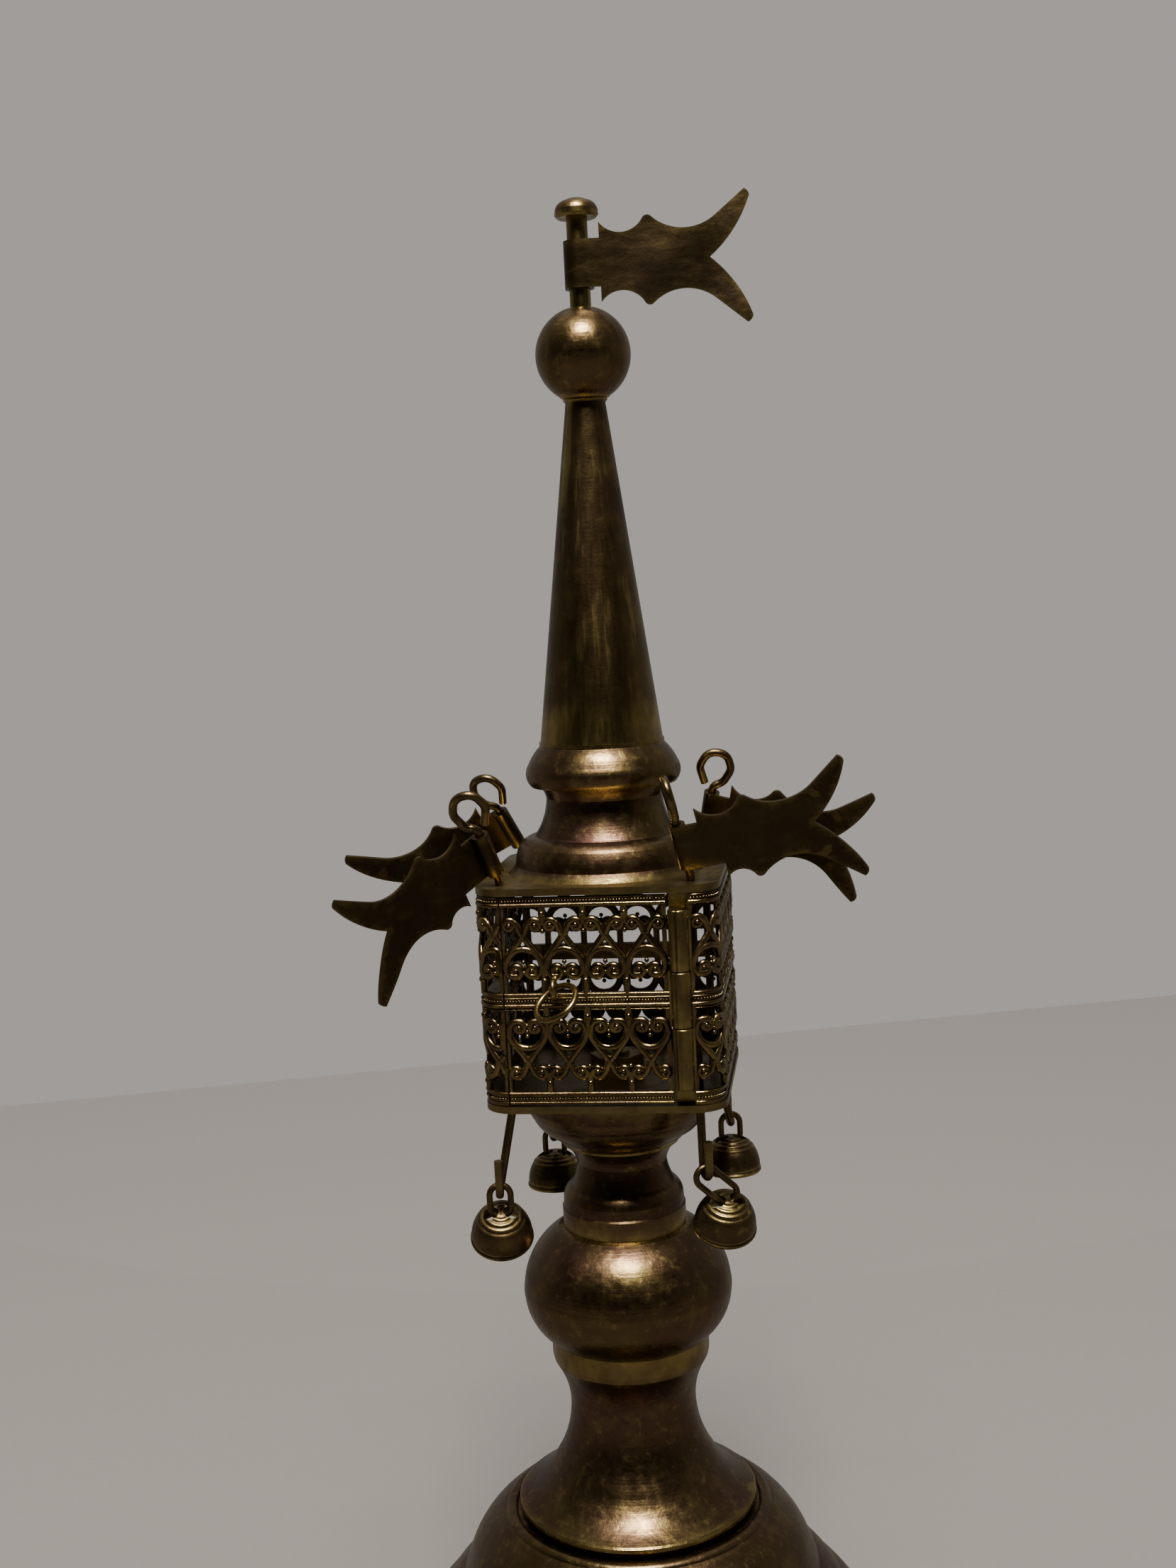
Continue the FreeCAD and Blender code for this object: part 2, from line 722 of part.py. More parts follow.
def top_loop(start, axis, wire):
    """The corners that the wire's end rounds to make an upright oval loop."""
    aside = flat_direction(wire["loop"])
    aside = (aside - axis * aside.dot(axis)).normalize()
    width = mm("loop_width") / 2
    height = mm("loop_height") / 2
    return [start + aside * (width * math.cos(math.radians(turn)))
            + axis * (height * 0.95 + height * math.sin(math.radians(turn)))
            for turn in (-55, 0, 55, 125, 180, 238)]


def link(name, hang, wire):
    """An oval wire link in the hook, and the point where its bell hangs."""
    radius = size("link_radius")
    half = Size.of(wire["straight"] / 2)
    body = new_body("link_" + name)
    spine = new_sketch(body, name + "_link_path", "XZ_Plane")
    add_outline(spine, [(radius, -half), (radius, half, -1.0), (-radius, half), (-radius, -half, -1.0)])
    section = new_sketch(body, name + "_link_section", "XY_Plane")
    add_circle(section, radius, 0, size("link_wire"))
    pipe = body.newObject("PartDesign::AdditivePipe", name + "_link_wire")
    pipe.Profile = section
    pipe.Spine = (spine, ["Edge1", "Edge2", "Edge3", "Edge4"])
    turn = Rotation(Vector(0, 0, 1), wire["hook"] + 90)
    slant = Rotation(Vector(0, 1, 0), -wire["slant"])
    arc_centre = Vector(0, 0, -radius.number)
    straight = slant.multVec(Vector(0, 0, -half.number * 2))
    middle = arc_centre + straight * 0.5
    body.Placement = Placement(hang + turn.multVec(middle), turn.multiply(slant))
    return hang + turn.multVec(arc_centre + straight + Vector(0, 0, -radius.number))


def bell(name, link_bottom, wire):
    """A thin bell whose crown has two holes for the link."""
    radius = size("bell_radius")
    height = size("bell_height")
    wall_thick = size("bell_wall")
    body = turned("bell_" + name, [
        (radius - wall_thick, 0), (radius, 0), (radius - 0.1, height * 0.2, -0.33),
        (radius - 1.9, height - 0.05), (0, height), (0, height - wall_thick),
        (radius - 2.0, height - wall_thick - 0.05, 0.33), (radius - 0.1 - wall_thick, height * 0.2),
    ])
    holes = new_sketch(body, name + "_bell_holes", "XY_Plane")
    for way in (-1.0, 1.0):
        add_circle(holes, size("bell_hole_offset") * way, 0, size("bell_hole"))
    pocket = body.newObject("PartDesign::Pocket", name + "_bell_drilling")
    pocket.Profile = holes
    pocket.Type = "ThroughAll"
    pocket.Reversed = True
    drop = height.number - wall_thick.number - mm("bell_hang")
    turn = Rotation(Vector(0, 0, 1), wire["hook"] + 90)
    hang = turn.multiply(Rotation(Vector(1, 0, 0), wire["rock"]))
    body.Placement = Placement(link_bottom - hang.multVec(Vector(0, 0, drop)), hang)


# ---------------------------------------------------------------- the whole tower
def build():
    foot()
    neck()
    knop()
    stem()
    cup()
    tie_rod()
    plate("floor_plate", size("cup_top"), size("tie_rod_radius"))
    plate("roof_plate", size("box_top"), size("tie_rod_radius"))
    for name, turns in (("back_right", 0), ("back_left", 1), ("front_left", 2), ("front_right", 3)):
        corner_post(name, turns)
    wall("wall_right", 90)
    wall("wall_back", 180)
    wall("wall_left", 270)
    door_panel()
    hinge()
    door_pull()
    roof_dome()
    spire()
    finial()
    top_centre = Vector(0, 0, (mm("ball_top") + mm("cap_bottom")) / 2 - 0.2)
    pennant("flag_top", mm("pin_radius"), on_pin(top_centre, Vector(0, 0, 1), 8.2), size("tab_height") * 0.45)
    for name in WIRES:
        corner_set(name)


def write_parts():
    doc.recompute()
    broken = [item.Name for item in doc.Objects if "Invalid" in item.State or "Error" in item.State]
    if broken:
        raise RuntimeError(f"features that failed: {broken}")
    os.makedirs("parts", exist_ok=True)
    for piece in SUBPARTS:
        shape = piece.Shape
        if shape.isNull() or not shape.isValid() or len(shape.Solids) != 1:
            raise RuntimeError(f"{piece.Label} is not one valid solid")
        shape.exportStep(f"parts/{piece.Label}.step")
        print(f"{piece.Label:24s} {shape.Volume:10.2f} mm3")


build()
write_parts()
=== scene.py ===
"""Looks of the brass spice tower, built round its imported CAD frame. Metres, in the CAD's own frame."""

import json
import math

import bmesh
import bpy
from mathutils import Matrix, Vector

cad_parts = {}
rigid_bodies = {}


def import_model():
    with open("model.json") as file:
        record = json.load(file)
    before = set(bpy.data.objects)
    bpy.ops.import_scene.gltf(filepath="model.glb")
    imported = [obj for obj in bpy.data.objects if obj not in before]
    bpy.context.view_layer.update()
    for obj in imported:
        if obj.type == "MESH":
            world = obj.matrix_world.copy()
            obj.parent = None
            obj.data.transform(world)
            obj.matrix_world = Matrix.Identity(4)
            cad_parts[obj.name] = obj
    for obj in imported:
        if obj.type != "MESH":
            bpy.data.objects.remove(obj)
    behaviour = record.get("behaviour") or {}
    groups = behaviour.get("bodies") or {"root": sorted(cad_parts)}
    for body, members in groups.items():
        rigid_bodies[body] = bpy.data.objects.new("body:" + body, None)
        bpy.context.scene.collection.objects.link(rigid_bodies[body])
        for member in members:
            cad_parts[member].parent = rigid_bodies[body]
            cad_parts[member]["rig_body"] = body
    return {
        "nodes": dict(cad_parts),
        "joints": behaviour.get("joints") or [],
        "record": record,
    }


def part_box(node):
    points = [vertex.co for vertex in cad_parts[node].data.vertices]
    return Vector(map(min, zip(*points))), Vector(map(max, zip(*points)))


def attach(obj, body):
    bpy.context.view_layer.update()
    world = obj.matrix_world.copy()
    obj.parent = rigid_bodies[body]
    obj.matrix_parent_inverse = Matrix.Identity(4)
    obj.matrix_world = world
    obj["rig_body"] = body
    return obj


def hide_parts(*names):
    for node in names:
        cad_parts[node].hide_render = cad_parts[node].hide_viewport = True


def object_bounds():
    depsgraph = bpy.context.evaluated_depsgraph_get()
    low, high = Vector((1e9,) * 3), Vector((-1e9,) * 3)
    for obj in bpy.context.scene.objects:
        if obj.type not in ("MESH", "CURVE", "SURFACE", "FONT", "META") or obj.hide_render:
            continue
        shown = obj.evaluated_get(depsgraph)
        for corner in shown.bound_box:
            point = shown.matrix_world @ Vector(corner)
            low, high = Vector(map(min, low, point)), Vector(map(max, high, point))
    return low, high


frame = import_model()
CAD_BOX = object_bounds()
NODES = frame["nodes"]
JOINTS = {joint["name"]: joint for joint in frame["joints"]}
MM = 0.001


# ---------------------------------------------------------------- materials
class Graph:
    """A short way to write the nodes of a material or a world."""

    def __init__(self, tree):
        self.tree = tree

    def node(self, kind, inputs=None, **settings):
        made = self.tree.nodes.new(kind)
        for key, value in settings.items():
            setattr(made, key, value)
        for key, value in (inputs or {}).items():
            self.plug(value, made.inputs[key])
        return made

    def plug(self, value, socket):
        if isinstance(value, bpy.types.NodeSocket):
            self.tree.links.new(value, socket)
        else:
            socket.default_value = value

    def noise(self, vector, scale, detail=4.0, roughness=0.55, distortion=0.0):
        made = self.node("ShaderNodeTexNoise", {
            "Vector": vector, "Scale": scale, "Detail": detail, "Roughness": roughness,
            "Distortion": distortion})
        return made.outputs["Fac"]

    def span(self, value, low, high, to_low=0.0, to_high=1.0):
        made = self.node("ShaderNodeMapRange", {
            "Value": value, "From Min": low, "From Max": high, "To Min": to_low, "To Max": to_high})
        return made.outputs["Result"]

    def math(self, operation, first, second):
        made = self.node("ShaderNodeMath", {0: first, 1: second}, operation=operation)
        return made.outputs["Value"]

    def mix(self, factor, first, second):
        made = self.node("ShaderNodeMix", data_type="RGBA")
        self.plug(factor, made.inputs["Factor"])
        self.plug(first, made.inputs["A"])
        self.plug(second, made.inputs["B"])
        return made.outputs["Result"]

    def stretched(self, scale):
        where = self.node("ShaderNodeTexCoord").outputs["Object"]
        return self.node("ShaderNodeMapping", {"Vector": where, "Scale": scale}).outputs["Vector"]


def new_material(name):
    """An empty material with its graph and its Principled shader."""
    material = bpy.data.materials.new(name)
    material.use_nodes = True
    graph = Graph(material.node_tree)
    return material, graph, next(node for node in graph.tree.nodes if node.type == "BSDF_PRINCIPLED")


def rgb(red, green, blue):
    return (red, green, blue, 1.0)


GOLD = rgb(0.50, 0.385, 0.12)
PALE_GOLD = rgb(0.62, 0.48, 0.15)
OLIVE = rgb(0.125, 0.085, 0.036)
UMBER = rgb(0.072, 0.045, 0.026)
PLUM = rgb(0.100, 0.053, 0.040)
# near-black, for random dark specks of dirt and for the painted shade in hollows
DIRT_AND_SHADE = rgb(0.022, 0.015, 0.010)
PATINA_SCALE, BLOTCH_SCALE, SPECK_SCALE, SCRATCH_SCALE, LATHE_SCALE = 62, 330, 1500, 900, 3600


def aged_brass(name, bright, middle, dark, wear, rough,
               lathe=0.0, grain=(1, 1, 1), hollow_shade=0.0, pits=1.0):
    """Tarnished brass: clouds of patina, a worn gleam on the edges, painted shade in the hollows,
    hairline scratches, and the fine rings that a lathe leaves."""
    material, g, shader = new_material(name)
    here = g.node("ShaderNodeTexCoord").outputs["Object"]
    clouds = g.noise(here, PATINA_SCALE, 4.0, 0.50, 0.6)
    blotches = g.noise(here, BLOTCH_SCALE, 5.0, 0.6)
    specks = g.noise(here, SPECK_SCALE, 3.0, 0.6)
    scratches = g.noise(g.stretched(grain), SCRATCH_SCALE, 3.0, 0.65)

    tone = g.mix(g.span(clouds, 0.36, 0.66), middle, dark)
    tone = g.mix(g.math("MULTIPLY", g.span(blotches, 0.50, 0.80), 0.22), tone, bright)
    tone = g.mix(g.math("MULTIPLY", g.span(specks, 0.62, 0.74), 0.5), tone, DIRT_AND_SHADE)
    tone = g.mix(g.math("MULTIPLY", g.span(scratches, 0.58, 0.72), 0.25), tone, bright)
    edges = g.node("ShaderNodeNewGeometry").outputs["Pointiness"]
    rubbed = g.math("MULTIPLY", g.span(edges, 0.505, 0.56), g.span(blotches, 0.30, 0.60, 0.35, 1.0))
    tone = g.mix(g.math("MULTIPLY", rubbed, wear), tone, bright)
    # painted shade: the hollows that ambient occlusion finds are darkened towards near-black
    if hollow_shade:
        shade_in_hollows = g.node("ShaderNodeAmbientOcclusion", {"Distance": 0.0016}, samples=6).outputs["AO"]
        tone = g.mix(g.math("MULTIPLY", g.span(shade_in_hollows, 0.75, 0.25), hollow_shade), tone, DIRT_AND_SHADE)
    g.plug(tone, shader.inputs["Base Color"])

    matt = g.span(clouds, 0.35, 0.68, rough - 0.04, rough + 0.08)
    matt = g.math("ADD", matt, g.span(scratches, 0.35, 0.70, -0.04, 0.06))
    matt = g.math("SUBTRACT", matt, g.math("MULTIPLY", rubbed, 0.08))
    g.plug(matt, shader.inputs["Roughness"])
    shader.inputs["Metallic"].default_value = 1.0

    relief = g.node("ShaderNodeBump", {
        "Height": specks, "Strength": 0.35 * pits, "Distance": 0.00006})
    relief = g.node("ShaderNodeBump", {
        "Height": blotches, "Strength": 0.45 * pits, "Distance": 0.00016,
        "Normal": relief.outputs["Normal"]})
    relief = g.node("ShaderNodeBump", {
        "Height": scratches, "Strength": 0.30, "Distance": 0.00003, "Normal": relief.outputs["Normal"]})
    if lathe:
        rings = g.noise(g.stretched((0.02, 0.02, 1.0)), LATHE_SCALE, 2.0, 0.7)
        relief = g.node("ShaderNodeBump", {
            "Height": rings, "Strength": lathe, "Distance": 0.00003, "Normal": relief.outputs["Normal"]})
    g.plug(relief.outputs["Normal"], shader.inputs["Normal"])
    return material


# the filigree, hinge, bell and plate looks also darken their hollows with painted shade
TURNED = aged_brass("turned_brass", GOLD, OLIVE, PLUM, 0.55, 0.29, lathe=0.5)
SPIRE = aged_brass("spire_brass", GOLD, OLIVE, UMBER, 0.5, 0.33, lathe=0.3, grain=(1, 1, 0.05))
FILIGREE = aged_brass("filigree_brass", PALE_GOLD, rgb(0.085, 0.056, 0.026), PLUM, 0.22, 0.27,
                      hollow_shade=0.95)
HINGE = aged_brass("hinge_brass", GOLD, rgb(0.080, 0.052, 0.027), UMBER, 0.7, 0.36, grain=(1, 1, 0.06),
                   hollow_shade=0.5)
PENNANT = aged_brass("pennant_brass", rgb(0.15, 0.108, 0.040), rgb(0.060, 0.042, 0.018),
                     rgb(0.040, 0.026, 0.016), 0.8, 0.40, grain=(0.3, 0.3, 1), pits=1.2)
WIRE = aged_brass("wire_brass", GOLD, rgb(0.105, 0.072, 0.036), UMBER, 0.4, 0.33, grain=(1, 1, 0.1))
BELL = aged_brass("bell_brass", GOLD, rgb(0.100, 0.070, 0.030), UMBER, 0.7, 0.34, lathe=0.4, hollow_shade=0.6)
PULL = aged_brass("pull_brass", PALE_GOLD, rgb(0.20, 0.14, 0.06), UMBER, 0.5, 0.30)
FASTENER = aged_brass("fastener_brass", GOLD, OLIVE, UMBER, 0.6, 0.40)
# the plates' brass is kept darker than the rest: painted shade for the dim inside of the box
SHADED_PLATE = aged_brass("plate_brass_shaded", rgb(0.26, 0.195, 0.075), rgb(0.075, 0.052, 0.026), UMBER, 0.9, 0.40,
                   hollow_shade=1.0)

LOOK_OF_SLOT = {
    "turned_brass": TURNED, "cast_brass": HINGE, "pennant_brass": PENNANT, "wire_brass": WIRE,
    "bell_brass": BELL, "fastener_brass": FASTENER,
}


def paint(piece, material):
    piece.data.materials.clear()
    piece.data.materials.append(material)


def soften(mesh, limit_deg):
    """Smooth shading, with a crease wherever two faces meet at more than the limit."""
    shape = bmesh.new()
    shape.from_mesh(mesh)
    limit = math.radians(limit_deg)
    for face in shape.faces:
        face.smooth = True
    for edge in shape.edges:
        edge.smooth = len(edge.link_faces) != 2 or edge.calc_face_angle(0.0) < limit
    shape.to_mesh(mesh)
    shape.free()


# ---------------------------------------------------------------- mesh helpers
def finished(name, shape, material, body, replaced=(), crease_deg=50):
    """Turns a bmesh into a piece that rides on a body."""
    bmesh.ops.recalc_face_normals(shape, faces=shape.faces)
    mesh = bpy.data.meshes.new(name)
    shape.to_mesh(mesh)
    shape.free()
    soften(mesh, crease_deg)
    piece = bpy.data.objects.new(name, mesh)
    bpy.context.scene.collection.objects.link(piece)
    paint(piece, material)
    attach(piece, body)
    if replaced:
        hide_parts(*replaced)
    return piece


def bridge(shape, first, second):
    """Quads between two rings of vertices."""
    count = len(first)
    for index in range(count):
        after = (index + 1) % count
        shape.faces.new((first[index], first[after], second[after], second[index]))


def skin(shape, rings):
    """A tube through rings of vertices, with a cap at each end."""
    for first, second in zip(rings, rings[1:]):
        bridge(shape, first, second)
    shape.faces.new(rings[0])
    shape.faces.new(rings[-1])


# ---------------------------------------------------------------- filigree, drawn in (along, up)
PITCH = 4.6
HALF_PITCH = PITCH / 2
MIRROR_LEVEL = 85.5
RIB_HALF, RIB_DEEP = 0.41, 0.38
CASE_REPEATS, DOOR_REPEATS = 18, 4
FACE_DEPTH = 0.42  # from the casting's outermost face in to the middle of its ribs
CASTING_BACK = -0.38


def spiral(centre, start_angle, turn, radius_out, radius_in, steps):
    """Points that wind in towards a centre, from start_angle through turn, in degrees."""
    points = []
    for step in range(steps + 1):
        share = step / steps
        angle = math.radians(start_angle + turn * share)
        radius = radius_out + (radius_in - radius_out) * share
        points.append((centre[0] + radius * math.cos(angle), centre[1] + radius * math.sin(angle)))
    return points


def smooth_through(points, steps=6):
    """A Catmull-Rom line through the points."""
    padded = [points[0], *points, points[-1]]
    line = []
    for a, b, c, d in zip(padded, padded[1:], padded[2:], padded[3:]):
        for step in range(steps):
            t = step / steps
            line.append(tuple(
                0.5 * (2 * q + (r - p) * t + (2 * p - 5 * q + 4 * r - s) * t * t
                       + (3 * q - p - 3 * r + s) * t ** 3)
                for p, q, r, s in zip(a, b, c, d)))
    line.append(points[-1])
    return line


def scroll_strokes():
    """One repeat of the upper tier, round u = 0: its lines, and its beads as (u, z, radius)."""
    lines, beads = [], []
    for side in (-1, 1):
        # from the joint over the arch, up and out into the curl beside the post
        curl_at = (side * 1.44, 93.86)
        curl = spiral(curl_at, 90 + side * 60, side * -330, 0.66, 0.34, 18)
        lead = smooth_through([(side * 0.02, 92.55), (side * 0.30, 93.25), (side * 0.62, 93.95), curl[0]], 4)
        lines.append(lead[:-1] + curl)
        beads.append((curl_at[0], curl_at[1], 0.33))
        # from the joint down to the foot of the V at the next post
        lines.append(smooth_through([
            (0, 92.75), (side * 0.55, 91.95), (side * 1.25, 91.05), (side * 1.85, 90.2), (side * 2.2, 89.3),
            (side * 2.3, 88.8)], 4))
        # the arch and the curl at its foot
        foot_at = (side * 0.92, 88.72)
        foot = spiral(foot_at, -90 - side * 20, side * -300, 0.68, 0.30, 18)
        arch = smooth_through([
            (0, 91.15), (side * 0.85, 90.98), (side * 1.6, 90.4), (side * 2.02, 89.5), (side * 1.95, 88.65),
            (side * 1.5, 88.12), foot[0]], 5)
        lines.append(arch[:-1] + foot)
        beads.append((foot_at[0] - side * 0.02, foot_at[1] + 0.02, 0.28))
    beads += [(0, 89.72, 0.28), (0, 89.2, 0.24), (0, 88.5, 0.26)]
    return lines, beads


def post_strokes():
    """The short posts at u = 0 above and below the upper tier's scrolls, with their beads."""
    lines = [[(0, 96.2), (0, 95.4), (0, 94.7), (0, 93.9)], [(0, 88.9), (0, 88.0), (0, 87.0), (0, 85.9)]]
    return lines, [(0, 95.15, 0.40), (0, 87.55, 0.42), (0, 93.2, 0.30)]


def mirrored(lines, beads):
    """The lower tier: the upper one turned over about the mirror level."""
    flip = 2 * MIRROR_LEVEL
    return ([[(u, flip - z) for u, z in line] for line in lines],
            [(u, flip - z, radius) for u, z, radius in beads])


def add_rib(shape, line, place, half=RIB_HALF, deep=RIB_DEEP, sides=8):
    """A rounded rib along a drawn line. place(along, up, out) gives its point in millimetres."""
    rings = []
    for index, (u, z) in enumerate(line):
        before = line[max(index - 1, 0)]
        after = line[min(index + 1, len(line) - 1)]
        run = math.hypot(after[0] - before[0], after[1] - before[1]) or 1.0
        across = (-(after[1] - before[1]) / run, (after[0] - before[0]) / run)
        ring = []
        for corner in range(sides):
            angle = 2 * math.pi * corner / sides
            offset = half * math.cos(angle)
            ring.append(shape.verts.new(
                place(u + across[0] * offset, z + across[1] * offset, deep * math.sin(angle)) * MM))
        rings.append(ring)
    skin(shape, rings)


def add_bead(shape, u, z, radius, place, out=0.12, around=10, levels=6):
    """A small ball of the casting."""
    top = shape.verts.new(place(u, z, out + radius) * MM)
    bottom = shape.verts.new(place(u, z, out - radius) * MM)
    rings = []
    for level in range(1, levels):
        tilt = math.pi * level / levels
        rings.append([shape.verts.new(place(
            u + radius * math.sin(tilt) * math.cos(2 * math.pi * step / around),
            z + radius * math.sin(tilt) * math.sin(2 * math.pi * step / around),
            out + radius * math.cos(tilt)) * MM) for step in range(around)])
    for first, second in zip(rings, rings[1:]):
        bridge(shape, first, second)
    for index in range(around):
        after = (index + 1) % around
        shape.faces.new((top, rings[0][after], rings[0][index]))
        shape.faces.new((bottom, rings[-1][index], rings[-1][after]))


def add_rail(shape, start, end, section, place, step=0.5):
    """A moulding of constant section, given as (up, out) corners, from start to end."""
    count = max(1, round((end - start) / step))
    rings = []
    for index in range(count + 1):
        u = start + (end - start) * index / count
        rings.append([shape.verts.new(place(u, z, out) * MM) for z, out in section])
    skin(shape, rings)


def half_round(level, radius, base, bulge, steps=6):
    """A half-round moulding's section round a level."""
    return [(level - radius * math.cos(math.pi * i / steps), base + bulge * math.sin(math.pi * i / steps))
            for i in range(steps + 1)]


def add_milgrain(shape, start, end, level, place, radius=0.15, spacing=0.335, out=0.22):
    """A row of tiny grains."""
    count = max(1, round((end - start) / spacing))
    for index in range(count):
        u = start + (end - start) * (index + 0.5) / count
        add_bead(shape, u, level, radius, place, out, 6, 4)


def band(low, high, inner, outer):
    return [(low, inner), (low, outer), (high, outer), (high, inner)]


def add_rails(shape, start, end, place, top_level, bottom_level):
    """The three rails: at the roof, in the middle and at the floor."""
    for section in (
        band(95.85, top_level, CASTING_BACK, 0.08), half_round(96.12, 0.30, 0.05, 0.36),
        half_round(96.95, 0.10, 0.05, 0.20),
        band(84.2, 86.15, CASTING_BACK, 0.10), half_round(86.08, 0.12, 0.05, 0.26),
        half_round(84.72, 0.28, 0.05, 0.38), half_round(84.28, 0.10, 0.05, 0.20),
        half_round(85.62, 0.07, 0.05, 0.16),
        band(bottom_level, 74.85, CASTING_BACK, 0.10), half_round(74.72, 0.20, 0.05, 0.36),
        half_round(73.62, 0.13, 0.05, 0.22),
    ):
        add_rail(shape, start, end, section, place)
    for level in (96.6, 85.28, 74.1):
        add_milgrain(shape, start + 0.1, end - 0.1, level, place)


def add_scrollwork(shape, centres, place, low_u, high_u):
    """Both tiers of scrolls, with a repeat at each centre and a post between repeats."""
    strokes = scroll_strokes()
    posts = post_strokes()
    posts_at = sorted({round(c + way * HALF_PITCH, 4) for c in centres for way in (-1, 1)})
    runs = [(strokes, centres), (mirrored(*strokes), centres), (posts, posts_at),
            (mirrored(*posts), posts_at)]
    for (lines, beads), places in runs:
        for middle in places:
            for line in lines:
                kept = [(u + middle, z) for u, z in line if low_u <= u + middle <= high_u]
                if len(kept) > 2:
                    add_rib(shape, kept, place)
            for u, z, radius in beads:
                if low_u + radius <= u + middle <= high_u - radius:
                    add_bead(shape, u + middle, z, radius, place)


def add_stile(shape, start, end, bottom, top, place):
    """An upright strip at the end of a run of scrollwork."""
    add_rail(shape, start, end, band(bottom, top, -0.36, 0.06), place, 0.2)


def make_door():
    """The door's casting: framed scrollwork, four repeats wide."""
    low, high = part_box("door_panel")
    low, high = low / MM, high / MM
    face = low.y + FACE_DEPTH

    def place(along, up, out):
        return Vector((along, face - out, up))

    shape = bmesh.new()
    middle = (low.x + high.x) / 2
    centres = [middle + PITCH * (index - (DOOR_REPEATS - 1) / 2) for index in range(DOOR_REPEATS)]
    add_scrollwork(shape, centres, place, low.x + 0.15, high.x - 0.1)
    add_rails(shape, low.x, high.x, place, high.z, low.z)
    for start, end in ((low.x, low.x + 0.26), (high.x - 0.5, high.x)):
        add_stile(shape, start, end, low.z, high.z, place)
    finished("door_filigree", shape, FILIGREE, "door", ["door_panel"])


def make_case():
    """The case's casting: one strip of scrollwork from the hinge, round the right, back and left
    sides, to the door's free edge."""
    low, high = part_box("corner_post_front_left")
    outer = -low.y / MM
    corner = (high.x - low.x) / MM
    flat = outer - corner
    radius = corner - FACE_DEPTH
    arc = radius * math.pi / 2
    side = 2 * flat
    lead_in = 0.2  # the strip's first stretch, still on the front

    def place(along, up, out):
        run = along - lead_in
        if run <= 0:
            return Vector((flat + run, -(outer - FACE_DEPTH + out), up))
        turns, rest = divmod(run, arc + side)
        if rest <= arc:
            angle, reach = rest / radius, radius + out
            local = Vector((flat + reach * math.sin(angle), -flat - reach * math.cos(angle), up))
        else:
            turns += 1
            local = Vector((-flat + rest - arc, -(outer - FACE_DEPTH + out), up))
        return Matrix.Rotation(turns * math.pi / 2, 3, "Z") @ local

    total = lead_in + 4 * arc + 3 * side
    shape = bmesh.new()
    centres = [HALF_PITCH + PITCH * index for index in range(CASE_REPEATS)]
    add_scrollwork(shape, centres, place, -0.12, total - 0.1)
    top_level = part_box("roof_plate")[0].z / MM
    bottom_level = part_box("floor_plate")[1].z / MM
    add_rails(shape, 0.0, total, place, top_level, bottom_level)
    for start, end in ((-0.15, 0.2), (total - 0.3, total)):
        add_stile(shape, start, end, bottom_level, top_level, place)
    finished("case_filigree", shape, FILIGREE, "tower", [
        "wall_right", "wall_back", "wall_left", "corner_post_front_right", "corner_post_back_right",
        "corner_post_back_left", "corner_post_front_left"])


# ---------------------------------------------------------------- hinge
BARREL_SIDES = 48
BARREL_RADIUS, BARREL_BORE = 1.15, 0.58
SEAM_TURN, SEAM_HALF_TURN, SEAM_DEEP = 230, 9.0, 0.13
LEAF_STARTS = 0.75  # from the barrel's axis
LEAF_THICK = 0.35


def make_barrel(node, seam_shift):
    """A hinge barrel rolled from sheet: eased ends, a shallow seam down its side, and its leaf."""
    low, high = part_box(node)
    pin_low, pin_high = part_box("hinge_pin")
    centre = (pin_low + pin_high) / 2 / MM
    bottom, top = low.z / MM, high.z / MM
    ease = 0.16
    levels = [(BARREL_BORE, bottom), (BARREL_RADIUS - ease, bottom), (BARREL_RADIUS - 0.04, bottom + 0.07),
              (BARREL_RADIUS, bottom + ease), (BARREL_RADIUS - 0.03, (bottom + top) / 2),
              (BARREL_RADIUS, top - ease), (BARREL_RADIUS - 0.04, top - 0.07), (BARREL_RADIUS - ease, top),
              (BARREL_BORE, top)]
    shape = bmesh.new()
    rings = []
    for r, z in levels:
        ring = []
        for k in range(BARREL_SIDES):
            turn = 360.0 * k / BARREL_SIDES
            away = abs((turn - SEAM_TURN - seam_shift + 180) % 360 - 180)
            groove = SEAM_DEEP * max(0.0, 1 - away / SEAM_HALF_TURN) if r > BARREL_BORE else 0.0
            angle = math.radians(turn)
            ring.append(shape.verts.new(Vector((
                centre.x + (r - groove) * math.cos(angle), centre.y + (r - groove) * math.sin(angle), z)) * MM))
        rings.append(ring)
    for first, second in zip(rings, rings[1:] + rings[:1]):
        bridge(shape, first, second)
    if NODES[node]["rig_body"] == "door":
        start, end = low.x / MM, centre.x - LEAF_STARTS
    else:
        start, end = centre.x + LEAF_STARTS, high.x / MM
    leaf = bmesh.ops.create_cube(shape, size=1.0)["verts"]
    for vertex in leaf:
        vertex.co = Vector((
            (start + end) / 2 + vertex.co.x * (end - start),
            (centre.y + high.y / MM) / 2 + vertex.co.y * (high.y / MM - centre.y) * 0.96,
            (bottom + top) / 2 + vertex.co.z * (top - bottom) * 0.99)) * MM
    bmesh.ops.bevel(shape, geom=list({edge for vertex in leaf for edge in vertex.link_edges}),
                    offset=0.08 * MM, segments=2, affect="EDGES")
    finished(node + "_barrel", shape, HINGE, NODES[node]["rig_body"], [node])


